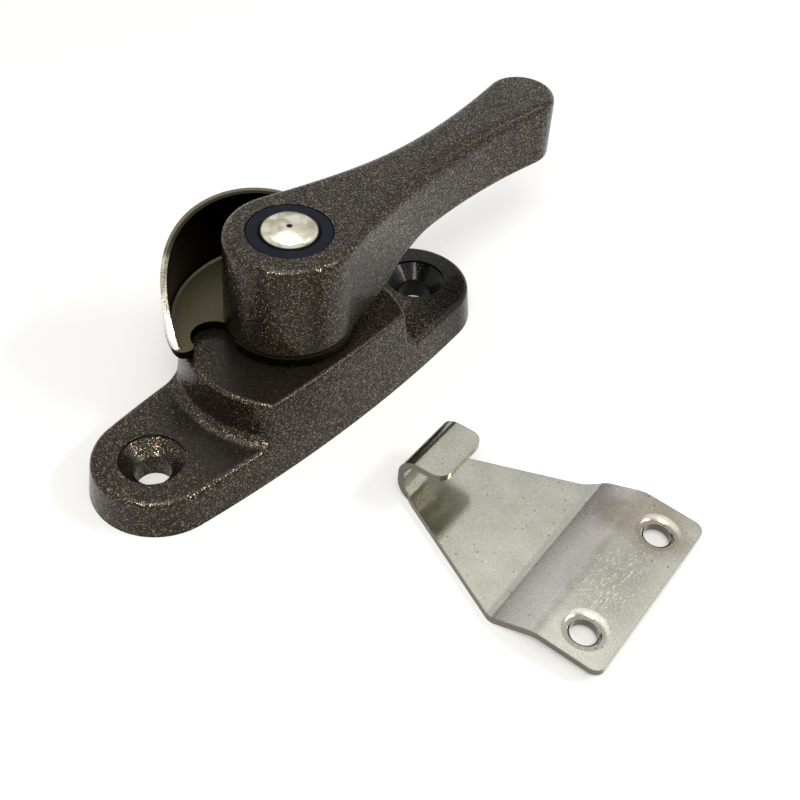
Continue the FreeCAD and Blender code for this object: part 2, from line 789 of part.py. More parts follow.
def lever_rounds(body):
    """Rounds the lever's edges: crisp at the hub and thumb, broad along the middle of the arm."""
    top, below = size("lever_top"), size("lever_underside")
    rounds = []
    for number, edge in enumerate(body.Shape.Edges, start=1):
        if level(edge, top) and not arc_of(edge, size("collar_radius")):
            first, last = (arm_round(edge.valueAt(end).x) for end in edge.ParameterRange)
            rounds.append((number, first, last))
        elif level(edge, below) and not straight(edge):
            rounds.append((number, size("lever_under_round"), size("lever_under_round")))
    lever = doc.addObject("Part::Fillet", "lever")
    lever.Label = "lever"
    lever.Base = body
    lever.Edges = rounds
    return built(lever)


def arm_round(x):
    """The top edge's radius at a distance along the lever, in straight steps between three places."""
    places = [(0, size("lever_hub_round")),
              (size("lever_arm_round_x"), size("lever_arm_round")),
              (size("lever_length"), size("lever_tip_round"))]
    if x <= 0:
        return places[0][1]
    for (start, near), (end, far) in zip(places, places[1:]):
        if x <= end:
            return near + (far - near) * (x - start) / (end - start)
    return places[-1][1]


def bent_wire(points, radii):
    """A flat wire of straight runs joined by tangent arcs, one radius for each inner point."""
    edges = []
    start = points[0]
    for before, corner, after, radius in zip(points, points[1:], points[2:], radii):
        arriving = (corner - before).normalize()
        leaving = (after - corner).normalize()
        turn_angle = arriving.getAngle(leaving)
        setback = radius * math.tan(turn_angle / 2)
        first, last = corner - arriving * setback, corner + leaving * setback
        middle = corner + (leaving - arriving).normalize() * radius * (1 / math.cos(turn_angle / 2) - 1)
        if (first - start).Length > NEAR:
            edges.append(Part.makeLine(start, first))
        edges.append(Part.Arc(first, middle, last).toShape())
        start = last
    edges.append(Part.makeLine(start, points[-1]))
    return edges


def strip_section(points, radii, thickness):
    """The section of a bent sheet in the YZ plane: its lower line, and the same line moved inwards."""
    normals = [Vector(0, -(b - a).z, (b - a).y).normalize() for a, b in zip(points, points[1:])]
    inner = [points[0] + normals[0] * thickness]
    for corner, one, two in zip(points[1:], normals, normals[1:]):
        inner.append(corner + (one + two) * (thickness / (1 + one.dot(two))))
    inner.append(points[-1] + normals[-1] * thickness)
    inner_radii = []
    for radius, one, two in zip(radii, normals, normals[1:]):
        towards_inside = one.cross(two).x > 0
        inner_radii.append(radius - thickness if towards_inside else radius + thickness)
    outer_edges = bent_wire(points, radii)
    inner_edges = bent_wire(inner, inner_radii)
    ends = [Part.makeLine(points[-1], inner[-1]), Part.makeLine(points[0], inner[0])]
    return Part.Face(Part.Wire(Part.__sortEdges__(outer_edges + inner_edges + ends)))


def rounded_plate(corners, bottom, top):
    """A prism over a plan given as corners (x, y, radius), a radius of 0 being sharp."""
    points = [Vector(x, y, bottom) for x, y, _ in corners]
    edges = []
    tangents = []
    for number, (_, _, radius) in enumerate(corners):
        corner = points[number]
        arriving = (corner - points[number - 1]).normalize()
        leaving = (points[(number + 1) % len(points)] - corner).normalize()
        setback = radius * math.tan(arriving.getAngle(leaving) / 2)
        first, last = corner - arriving * setback, corner + leaving * setback
        tangents.append((first, last))
        if radius:
            lift = radius * (1 / math.cos(arriving.getAngle(leaving) / 2) - 1)
            middle = corner + (leaving - arriving).normalize() * lift
            edges.append(Part.Arc(first, middle, last).toShape())
    for number, (first, _) in enumerate(tangents):
        edges.append(Part.makeLine(tangents[number - 1][1], first))
    face = Part.Face(Part.Wire(Part.__sortEdges__(edges)))
    return face.extrude(UP * (top - bottom))


def hole_mouth(hole, rim, radius):
    """The rolled-in mouth of a punched hole as a solid to cut away, its rim at height 0."""
    drop = radius - math.sqrt(radius * radius - (rim - hole) ** 2)
    lean = math.asin((rim - hole) / radius) / 2
    middle = Vector(rim - radius * math.sin(lean), 0, radius * math.cos(lean) - radius)
    corners = [Vector(x, 0, z) for x, z in ((hole, -drop), (rim, 0), (rim, drop), (0, drop), (0, -drop))]
    edges = [Part.Arc(corners[0], middle, corners[1]).toShape()]
    edges += [Part.makeLine(one, two) for one, two in zip(corners[1:], corners[2:] + corners[:1])]
    return Part.Face(Part.Wire(edges)).revolve(Vector(), UP, 360)


def make_keeper():
    """Sheet strike: a plate with two dimpled holes, stepped down to a tapering arm with a rolled hook."""
    thickness, step = size("keeper_sheet"), size("keeper_step")
    end, step_start = size("keeper_end"), size("keeper_step_start")
    reach, height, lip_end = size("keeper_hook_reach"), size("keeper_hook_height"), size("keeper_lip_end")
    step_round = size("keeper_step_round")
    near, far = size("keeper_left"), size("keeper_right")
    profile = [Vector(0, y, z) for y, z in (
        (end, size("keeper_end_height")),
        (step_start, step),
        (size("keeper_step_end"), 0),
        (reach, 0),
        (reach, height),
        (lip_end, height))]
    bends = [step_round, step_round, size("keeper_lower_bend"), size("keeper_upper_bend")]
    section = strip_section(profile, bends, thickness)
    section.translate(Vector(near, 0, 0))
    strip = section.extrude(Vector(far - near, 0, 0))

    left, right = size("keeper_hook_left"), size("keeper_hook_right")
    corner, shoulder = size("keeper_corner_round"), size("keeper_shoulder_round")
    split, margin = height / 2, size("cut_margin")
    plan = rounded_plate([
        (near, end, corner),
        (far, end, corner),
        (far, size("keeper_right_shoulder"), shoulder / 2),
        (size("keeper_waist_x"), size("keeper_waist_y"), shoulder),
        (right, size("keeper_taper_right"), 0),
        (right, reach + margin, 0),
        (left, reach + margin, 0),
        (left, size("keeper_taper_left"), 0),
        (near, size("keeper_left_shoulder"), shoulder)], -margin, split)
    lip_round = size("keeper_lip_round")
    lip = rounded_plate([
        (left, lip_end, lip_round),
        (right, lip_end, lip_round),
        (right, reach + margin, 0),
        (left, reach + margin, 0)], split, height + margin)
    shape = strip.common(plan.fuse(lip))

    # each screw hole is dimpled: rolled in above and standing out below, square to the plate
    depth = size("keeper_dimple_depth")
    slope = (step - size("keeper_end_height")) / (step_start - end)
    square = Vector(0, -slope, 1).normalize()
    mouth = hole_mouth(size("keeper_hole_radius"), size("keeper_dimple_radius"), size("keeper_seat_round"))
    for side in (-1, 1):
        foot = Vector(side * size("keeper_pitch / 2"), 0, step - slope * step_start)
        below = Part.makeCone(
            size("keeper_dimple_neck"), size("keeper_dimple_foot"), depth, foot - square * depth, square)
        funnel = mouth.copy()
        funnel.Placement = Placement(foot + square * thickness, Rotation(UP, square))
        throat = Part.makeCylinder(
            size("keeper_hole_radius"), 2 * thickness + depth, foot - square * (thickness + depth), square)
        shape = shape.fuse(below).cut(funnel.fuse(throat))
    keeper = doc.addObject("Part::Feature", "keeper")
    keeper.Label = "keeper"
    keeper.Shape = shape.removeSplitter()
    keeper.Placement = Placement(
        Vector(size("keeper_x"), size("keeper_y"), 0), Rotation(UP, size("keeper_turn")))
    return keeper


def check_and_write(pieces):
    """Stops at any failed object or open shape, then writes one file for each piece."""
    doc.recompute()
    for item in doc.Objects:
        if "Invalid" in item.State or "Error" in item.State:
            raise RuntimeError(f"{item.Label} failed: {item.State}")
    os.makedirs("parts", exist_ok=True)
    for item in pieces:
        shape = item.Shape
        if shape.isNull() or not shape.isValid() or not shape.Solids:
            raise RuntimeError(f"{item.Label} isn't a valid solid")
    for item in pieces:
        item.Shape.exportStep(f"parts/{item.Label}.step")
        box = item.Shape.BoundBox
        print(f"{item.Label}: {len(item.Shape.Solids)} solid, {item.Shape.Volume:.1f} mm3,"
              f" z {box.ZMin:.2f} to {box.ZMax:.2f}")


check_and_write([
    make_base(),
    on_pivot(make_pivot_bush()),
    on_pivot(make_thrust_washer()),
    on_pivot(make_detent_spring()),
    make_spring_rivets(),
    make_lever(),
    on_pivot(make_crescent_cam()),
    on_pivot(make_pivot_pin()),
    on_pivot(make_pin_collar()),
    make_disc_springs(),
    on_pivot(make_index_cam()),
    on_pivot(make_backing_washer()),
    make_keeper(),
])
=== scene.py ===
"""Crescent lock with its keeper: finishes, small surface details and a plain studio."""

import math

import bmesh
import bpy
from bpy.props import FloatProperty, FloatVectorProperty, PointerProperty
from mathutils import Matrix, Vector


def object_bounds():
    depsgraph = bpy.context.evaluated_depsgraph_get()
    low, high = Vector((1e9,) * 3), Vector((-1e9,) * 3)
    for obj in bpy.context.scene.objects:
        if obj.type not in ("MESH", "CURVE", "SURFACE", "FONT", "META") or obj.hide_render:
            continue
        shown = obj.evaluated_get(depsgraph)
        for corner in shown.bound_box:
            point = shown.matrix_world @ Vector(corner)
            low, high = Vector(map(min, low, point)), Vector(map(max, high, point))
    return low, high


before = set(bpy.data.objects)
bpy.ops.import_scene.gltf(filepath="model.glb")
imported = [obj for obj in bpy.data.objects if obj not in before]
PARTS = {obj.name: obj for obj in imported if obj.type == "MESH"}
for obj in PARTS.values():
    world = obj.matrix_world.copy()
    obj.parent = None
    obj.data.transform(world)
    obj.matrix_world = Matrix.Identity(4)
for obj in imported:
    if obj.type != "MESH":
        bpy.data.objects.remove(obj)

bl_info = {
    "name": "Crescent lock",
    "version": (1, 0, 0),
    "blender": (4, 5, 0),
    "location": "3D View > Sidebar > Crescent lock",
    "description": "Dresses a crescent lock and its keeper and sets them in a plain studio",
    "category": "Object",
}

CAD_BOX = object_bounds()
MM = 0.001


def linear(hex_colour):
    """Turn an sRGB hex colour into linear red, green and blue."""
    channels = [int(hex_colour[i:i + 2], 16) / 255 for i in (1, 3, 5)]
    return tuple(c / 12.92 if c <= 0.04045 else ((c + 0.055) / 1.055) ** 2.4 for c in channels)


def per_mm(size_mm):
    """Give the texture scale at which one cell of a pattern measures size_mm."""
    return 1.0 / (size_mm * MM)


def opaque(colour):
    """Add full alpha to a colour of three channels."""
    return (colour[0], colour[1], colour[2], 1.0)


# Shader building

def add(tree, kind, settings=None, inputs=None, stops=None):
    """Add one node, set its properties, then set or link its inputs and colour stops."""
    made = tree.nodes.new(kind)
    for name, value in (settings or {}).items():
        setattr(made, name, value)
    for name, value in (inputs or {}).items():
        if isinstance(value, bpy.types.NodeSocket):
            tree.links.new(value, made.inputs[name])
        else:
            made.inputs[name].default_value = value
    if stops:
        elements = made.color_ramp.elements
        while len(elements) < len(stops):
            elements.new(0.5)
        for element, (position, colour) in zip(elements, stops):
            element.position = position
            element.color = colour
    return made


def new_material(name):
    """Start an empty material and give it with its node tree."""
    material = bpy.data.materials.new(name)
    material.use_nodes = True
    material.node_tree.nodes.clear()
    return material, material.node_tree


def finish(tree, surface):
    """Send a shader to the material's output."""
    add(tree, "ShaderNodeOutputMaterial", inputs={"Surface": surface.outputs[0]})


def dress(names, material):
    """Give carried-over solids a material."""
    for name in names:
        part = PARTS[name]
        part.data.materials.clear()
        part.data.materials.append(material)


# Places on the object, in the CAD's frame

PIVOT = (0.0, 1.0 * MM, 0.0)
KEEPER_SCREWS = (2.2 * MM, -57.3 * MM, 0.0)
KEEPER_TURN = (0.0, 0.0, math.radians(5.35))


def out_from_pivot(tree, spot):
    """Give the level vector from the pivot's axis to a point."""
    from_pivot = add(tree, "ShaderNodeVectorMath", {"operation": "SUBTRACT"}, {
        0: spot, 1: PIVOT})
    return add(tree, "ShaderNodeVectorMath", {"operation": "MULTIPLY"}, {
        0: from_pivot.outputs[0], 1: (1.0, 1.0, 0.0)})


# Finishes

def thumb_scratch(tree, spot):
    """Mark the one deep scratch, which runs across the lever's thumb end."""
    centre = (46.07 * MM, 0.87 * MM, 28.9 * MM)
    turn = (0.0, 0.0, math.radians(-21.9))
    half_sizes = (2.1 * MM, 0.5 * MM, 3.0 * MM)
    at_scratch = add(tree, "ShaderNodeMapping", {"vector_type": "TEXTURE"}, {
        "Vector": spot, "Location": centre, "Rotation": turn, "Scale": half_sizes})
    reach = add(tree, "ShaderNodeVectorMath", {"operation": "LENGTH"}, {
        0: at_scratch.outputs[0]})
    return add(tree, "ShaderNodeMapRange", inputs={
        "Value": reach.outputs["Value"], "From Min": 1.0, "From Max": 0.5})


def painted_lever_shade(tree, spot):
    """Mark the painted shade under the lever: the base's far end, but not the lever over it."""
    apart = add(tree, "ShaderNodeSeparateXYZ", inputs={"Vector": spot})
    far_end = add(tree, "ShaderNodeMapRange", {"interpolation_type": "SMOOTHSTEP"}, {
        "Value": apart.outputs[0],
        "From Min": 18.0 * MM, "From Max": 28.0 * MM, "To Max": 0.95})
    below_lever = add(tree, "ShaderNodeMapRange", inputs={
        "Value": apart.outputs[2], "From Min": 13.5 * MM, "From Max": 12.5 * MM})
    return add(tree, "ShaderNodeMath", {"operation": "MULTIPLY"}, {
        0: far_end.outputs[0], 1: below_lever.outputs[0]})


def flake_enamel(colours):
    """Zinc die casting with a sprayed and stoved enamel full of bronze flake.

    Dense fine flake in a brown-black binder gives a grey-brown speckle, and gold where a rounded
    edge faces a lamp. Over the far end of the base under the lever the colour is painted near
    black
    and without flake: painted shade standing in for the lever's shadow.
    """
    material, tree = new_material("Stoved bronze flake enamel")
    spot = add(tree, "ShaderNodeTexCoord").outputs["Object"]
    scratch = thumb_scratch(tree, spot)
    # Painted shade: the lever's shadow over the base's far end, painted near black and without
    # flake.
    lever_shade = painted_lever_shade(tree, spot)
    # The casting's skin shows as a slow swell of about 1.6 mm, under a fine orange peel.
    swell = add(tree, "ShaderNodeTexNoise", inputs={
        "Vector": spot, "Scale": per_mm(1.6), "Detail": 2.0})
    peel = add(tree, "ShaderNodeTexNoise", inputs={
        "Vector": spot, "Scale": per_mm(0.4), "Detail": 1.0})
    skin = add(tree, "ShaderNodeMath", {"operation": "ADD"}, {
        0: swell.outputs[0], 1: peel.outputs[0]})
    scored_skin = add(tree, "ShaderNodeMath", {"operation": "MULTIPLY_ADD"}, {
        0: scratch.outputs[0], 1: -2.0, 2: skin.outputs[0]})
    bump = add(tree, "ShaderNodeBump", inputs={
        "Height": scored_skin.outputs[0], "Strength": 0.25, "Distance": 0.02 * MM})
    # Real flake is about 0.03 mm; it is drawn at 0.13 mm to show, each one leaning its own way.
    flakes = add(tree, "ShaderNodeTexVoronoi", inputs={"Vector": spot, "Scale": per_mm(0.13)})
    centred = add(tree, "ShaderNodeVectorMath", {"operation": "SUBTRACT"}, {
        0: flakes.outputs["Color"], 1: (0.5, 0.5, 0.5)})
    tilt = add(tree, "ShaderNodeVectorMath", {"operation": "SCALE"}, {
        0: centred.outputs[0], "Scale": 0.3})
    leaning = add(tree, "ShaderNodeVectorMath", {"operation": "ADD"}, {
        0: bump.outputs[0], 1: tilt.outputs[0]})
    flake_normal = add(tree, "ShaderNodeVectorMath", {"operation": "NORMALIZE"}, {
        0: leaning.outputs[0]})
    shade = add(tree, "ShaderNodeSeparateColor", inputs={"Color": flakes.outputs["Color"]})
    speck = add(tree, "ShaderNodeValToRGB", inputs={"Fac": shade.outputs[0]}, stops=[
        (0.0, opaque(colours.enamel_binder)),
        (0.4, opaque(colours.enamel_body)),
        (0.85, opaque(colours.enamel_flake)),
        (1.0, opaque(colours.enamel_glint)),
    ])
    covered = add(tree, "ShaderNodeMix", {"data_type": "RGBA"}, {
        0: lever_shade.outputs[0], 6: speck.outputs[0], 7: opaque(colours.enamel_painted_shade)})
    scored = add(tree, "ShaderNodeMix", {"data_type": "RGBA"}, {
        0: scratch.outputs[0], 6: covered.outputs[2], 7: opaque(colours.dirt)})
    # The paler a flake is, the more metallic it is, except in the painted shade over the base's
    # far end.
    metal = add(tree, "ShaderNodeMapRange", inputs={
        "Value": shade.outputs[0],
        "From Min": 0.3, "From Max": 0.9, "To Min": 0.1, "To Max": 0.9})
    painted_shade_weight = add(tree, "ShaderNodeMath", {"operation": "SUBTRACT"}, {0: 1.0, 1: lever_shade.outputs[0]})
    flaked = add(tree, "ShaderNodeMath", {"operation": "MULTIPLY"}, {
        0: metal.outputs[0], 1: painted_shade_weight.outputs[0]})
    surface = add(tree, "ShaderNodeBsdfPrincipled", inputs={
        "Base Color": scored.outputs[2],
        "Metallic": flaked.outputs[0],
        "Roughness": 0.22,
        "Specular IOR Level": 0.1,
        "Normal": flake_normal.outputs[0],
        "Coat Weight": 0.16,
        "Coat Roughness": 0.13,
        "Coat Normal": bump.outputs[0],
    })
    finish(tree, surface)
    return material


def bright_zinc(colours):
    """Pressed steel with a warm bright zinc plate.

    The blanked rim is finely speckled, and worn bright low down where the keeper's hook first
    meets it. Inside the wall and on the cut sides the plate is painted near black, and so is the
    inner half of the rim higher up: painted shade and painted reflection of the dark hub and base.
    The floor is dull, and its darker olive, clouded at random, is partly painted reflection of the
    dark wall.
    """
    material, tree = new_material("Warm bright zinc plate on pressed steel")
    place = add(tree, "ShaderNodeTexCoord")
    spot, facing = place.outputs["Object"], place.outputs["Normal"]
    apart = add(tree, "ShaderNodeSeparateXYZ", inputs={"Vector": spot})
    height = apart.outputs[2]
    # The rim is worn bright below about 21 mm, with a ragged border.
    cloud = add(tree, "ShaderNodeTexNoise", inputs={
        "Vector": spot, "Scale": per_mm(3.5), "Detail": 4.0})
    ragged_height = add(tree, "ShaderNodeMath", {"operation": "MULTIPLY_ADD"}, {
        0: cloud.outputs[0], 1: 6.0 * MM, 2: height})
    worn = add(tree, "ShaderNodeMapRange", inputs={
        "Value": ragged_height.outputs[0], "From Min": 25.5 * MM, "From Max": 22.5 * MM})
    tone = add(tree, "ShaderNodeMix", {"data_type": "RGBA"}, {
        0: worn.outputs[0], 6: opaque(colours.plate_dull), 7: opaque(colours.plate_bright)})
    grain = add(tree, "ShaderNodeTexNoise", inputs={
        "Vector": spot, "Scale": per_mm(0.25), "Detail": 2.0})
    flecks = add(tree, "ShaderNodeMapRange", inputs={
        "Value": grain.outputs[0], "From Min": 0.48, "From Max": 0.66, "To Max": 0.65})
    flecked = add(tree, "ShaderNodeMix", {"data_type": "RGBA"}, {
        0: flecks.outputs[0], 6: tone.outputs[2], 7: opaque(colours.plate_fleck)})
    # Painted shade and painted reflection: faces that look inwards are painted near black,
    # and so is the inner half of the rim higher up.
    outwards = out_from_pivot(tree, spot)
    radial = add(tree, "ShaderNodeVectorMath", {"operation": "NORMALIZE"}, {
        0: outwards.outputs[0]})
    turned = add(tree, "ShaderNodeVectorMath", {"operation": "DOT_PRODUCT"}, {
        0: facing, 1: radial.outputs[0]})
    inside = add(tree, "ShaderNodeMapRange", inputs={
        "Value": turned.outputs["Value"], "From Min": -0.35, "From Max": -0.7})
    reach = add(tree, "ShaderNodeVectorMath", {"operation": "LENGTH"}, {0: outwards.outputs[0]})
    rim_inside = add(tree, "ShaderNodeMapRange", inputs={
        "Value": reach.outputs["Value"], "From Min": 17.5 * MM, "From Max": 17.3 * MM})
    high = add(tree, "ShaderNodeMapRange", inputs={
        "Value": height, "From Min": 19.5 * MM, "From Max": 23.0 * MM, "To Max": 0.9})
    rim_dark = add(tree, "ShaderNodeMath", {"operation": "MULTIPLY"}, {
        0: rim_inside.outputs[0], 1: high.outputs[0]})
    painted_shade_weight = add(tree, "ShaderNodeMath", {"operation": "MAXIMUM"}, {
        0: inside.outputs[0], 1: rim_dark.outputs[0]})
    dark = add(tree, "ShaderNodeMix", {"data_type": "RGBA"}, {
        0: painted_shade_weight.outputs[0], 6: flecked.outputs[2], 7: opaque(colours.plate_painted_shade)})
    # Below 14.2 mm is the cup's floor: darker olive on top, partly painted reflection of the dark
    # wall, and painted near black on its cut sides as shade and reflection of the base under it.
    low = add(tree, "ShaderNodeMapRange", inputs={
        "Value": height, "From Min": 14.3 * MM, "From Max": 14.1 * MM})
    faced = add(tree, "ShaderNodeSeparateXYZ", inputs={"Vector": facing})
    up = add(tree, "ShaderNodeMapRange", inputs={
        "Value": faced.outputs[2], "From Min": 0.2, "From Max": 0.7})
    film = add(tree, "ShaderNodeMix", {"data_type": "RGBA"}, {
        0: grain.outputs[0], 6: opaque(colours.plate_floor), 7: opaque(colours.plate_floor_cloud)})
    low_tone = add(tree, "ShaderNodeMix", {"data_type": "RGBA"}, {
        0: up.outputs[0], 6: opaque(colours.plate_painted_shade), 7: film.outputs[2]})
    floor_and_shade = add(tree, "ShaderNodeMix", {"data_type": "RGBA"}, {
        0: low.outputs[0], 6: dark.outputs[2], 7: low_tone.outputs[2]})
    bump = add(tree, "ShaderNodeBump", inputs={
        "Height": grain.outputs[0], "Strength": 0.35, "Distance": 0.02 * MM})
    gloss = add(tree, "ShaderNodeMapRange", inputs={
        "Value": low.outputs[0], "To Min": 0.24, "To Max": 0.5})
    surface = add(tree, "ShaderNodeBsdfPrincipled", inputs={
        "Base Color": floor_and_shade.outputs[2],
        "Metallic": 1.0,
        "Roughness": gloss.outputs[0],
        "Normal": bump.outputs[0],
    })
    finish(tree, surface)
    return material


def buffed_nickel(colours):
    """Turned steel pin, nickel plated and buffed.

    A near mirror, crowned by buffing, with rubbed patches, small dark scores and dirt in its
    centre mark.
    """
    material, tree = new_material("Buffed nickel plate")
    spot = add(tree, "ShaderNodeTexCoord").outputs["Object"]
    rub = add(tree, "ShaderNodeTexNoise", inputs={
        "Vector": spot, "Scale": per_mm(1.6), "Detail": 5.0})
    tone = add(tree, "ShaderNodeValToRGB", inputs={"Fac": rub.outputs[0]}, stops=[
        (0.42, opaque(colours.nickel)),
        (0.66, opaque(colours.nickel_rubbed)),
    ])
    stretched = add(tree, "ShaderNodeMapping", inputs={
        "Vector": spot, "Rotation": (0.0, 0.0, 0.9), "Scale": (1.0, 5.0, 3.0)})
    lines = add(tree, "ShaderNodeTexNoise", inputs={
        "Vector": stretched.outputs[0], "Scale": per_mm(1.4), "Detail": 3.0})
    scores = add(tree, "ShaderNodeMapRange", inputs={
        "Value": lines.outputs[0], "From Min": 0.66, "From Max": 0.72, "To Max": 0.8})
    scored = add(tree, "ShaderNodeMix", {"data_type": "RGBA"}, {
        0: scores.outputs[0], 6: tone.outputs[0], 7: opaque(colours.nickel_score)})
    outwards = out_from_pivot(tree, spot)
    reach = add(tree, "ShaderNodeVectorMath", {"operation": "LENGTH"}, {0: outwards.outputs[0]})
    mark = add(tree, "ShaderNodeMapRange", inputs={
        "Value": reach.outputs["Value"], "From Min": 0.5 * MM, "From Max": 0.36 * MM})
    marked = add(tree, "ShaderNodeMix", {"data_type": "RGBA"}, {
        0: mark.outputs[0], 6: scored.outputs[2], 7: opaque(colours.dirt)})
    # Buffing leaves a crown too low to be worth a cut of its own: it falls by the square of
    # the reach over twice its radius.
    crown_radius = 12.0 * MM
    square = add(tree, "ShaderNodeMath", {"operation": "MULTIPLY"}, {
        0: reach.outputs["Value"], 1: reach.outputs["Value"]})
    crown = add(tree, "ShaderNodeMath", {"operation": "DIVIDE"}, {
        0: square.outputs[0], 1: -2.0 * crown_radius})
    crowned = add(tree, "ShaderNodeBump", inputs={"Height": crown.outputs[0], "Distance": 1.0})
    bump = add(tree, "ShaderNodeBump", inputs={
        "Height": rub.outputs[0], "Strength": 0.2, "Distance": 0.02 * MM,
        "Normal": crowned.outputs[0]})
    gloss = add(tree, "ShaderNodeMapRange", inputs={
        "Value": rub.outputs[0],
        "From Min": 0.35, "From Max": 0.7, "To Min": 0.1, "To Max": 0.3})
    surface = add(tree, "ShaderNodeBsdfPrincipled", inputs={
        "Base Color": marked.outputs[2],
        "Metallic": 1.0,
        "Roughness": gloss.outputs[0],
        "Normal": bump.outputs[0],
    })
    finish(tree, surface)
    return material


def moulded_acetal(name, colour, roughness):
    """Injection moulded acetal: an even satin skin with a faint spark-eroded grain."""
    material, tree = new_material(name)
    spot = add(tree, "ShaderNodeTexCoord").outputs["Object"]
    grain = add(tree, "ShaderNodeTexNoise", inputs={
        "Vector": spot, "Scale": per_mm(0.15), "Detail": 2.0})
    patches = add(tree, "ShaderNodeTexNoise", inputs={
        "Vector": spot, "Scale": per_mm(1.8), "Detail": 3.0})
    worn = tuple(min(1.0, 1.7 * c) for c in colour)
    tone = add(tree, "ShaderNodeValToRGB", inputs={"Fac": patches.outputs[0]}, stops=[
        (0.4, opaque(colour)),
        (0.8, opaque(worn)),
    ])
    bump = add(tree, "ShaderNodeBump", inputs={
        "Height": grain.outputs[0], "Strength": 0.3, "Distance": 0.01 * MM})
    surface = add(tree, "ShaderNodeBsdfPrincipled", inputs={
        "Base Color": tone.outputs[0],
        "Roughness": roughness,
        "IOR": 1.48,
        "Specular IOR Level": 0.1,
        "Normal": bump.outputs[0],
    })
    finish(tree, surface)
    return material


def sheet_tones(tree, spot, own, colours):
    """Colour the keeper's sheet: cloudy grey, pinker on the step and brown round one hole."""
    cloud = add(tree, "ShaderNodeTexNoise", inputs={
        "Vector": spot, "Scale": per_mm(4.0), "Detail": 6.0})
    tone = add(tree, "ShaderNodeValToRGB", inputs={"Fac": cloud.outputs[0]}, stops=[
        (0.3, opaque(colours.stainless_dull)),
        (0.65, opaque(colours.stainless)),
    ])
    # The step runs across the sheet, from about 5 to 11 mm beyond the line of the screws.
    wander = add(tree, "ShaderNodeMath", {"operation": "MULTIPLY_ADD"}, {
        0: cloud.outputs[0], 1: 3.0 * MM, 2: -1.5 * MM})
    apart = add(tree, "ShaderNodeSeparateXYZ", inputs={"Vector": own.outputs[0]})
    along = add(tree, "ShaderNodeMath", {"operation": "ADD"}, {
        0: apart.outputs[1], 1: wander.outputs[0]})
    onto = add(tree, "ShaderNodeMapRange", {"interpolation_type": "SMOOTHSTEP"}, {
        "Value": along.outputs[0],
        "From Min": 4.2 * MM, "From Max": 5.6 * MM, "To Max": 0.8})
    off = add(tree, "ShaderNodeMapRange", {"interpolation_type": "SMOOTHSTEP"}, {
        "Value": along.outputs[0],
        "From Min": 10.0 * MM, "From Max": 11.6 * MM, "To Min": 1.0, "To Max": 0.0})
    step = add(tree, "ShaderNodeMath", {"operation": "MULTIPLY"}, {
        0: onto.outputs[0], 1: off.outputs[0]})
    banded = add(tree, "ShaderNodeMix", {"data_type": "RGBA"}, {
        0: step.outputs[0], 6: tone.outputs[0], 7: opaque(colours.stainless_step)})
    from_hole = add(tree, "ShaderNodeMapping", {"vector_type": "TEXTURE"}, {
        "Vector": own.outputs[0],
        "Location": (10.8 * MM, 2.2 * MM, 1.0 * MM),
        "Scale": (6.2 * MM, 7.2 * MM, 10.0 * MM)})
    reach = add(tree, "ShaderNodeVectorMath", {"operation": "LENGTH"}, {
        0: from_hole.outputs[0]})
    ragged = add(tree, "ShaderNodeMath", {"operation": "MULTIPLY_ADD"}, {
        0: cloud.outputs[0], 1: 0.9, 2: reach.outputs["Value"]})
    heat = add(tree, "ShaderNodeMapRange", {"interpolation_type": "SMOOTHSTEP"}, {
        "Value": ragged.outputs[0], "From Min": 1.6, "From Max": 1.05, "To Max": 0.7})
    return add(tree, "ShaderNodeMix", {"data_type": "RGBA"}, {
        0: heat.outputs[0], 6: banded.outputs[2], 7: opaque(colours.stainless_heat)})


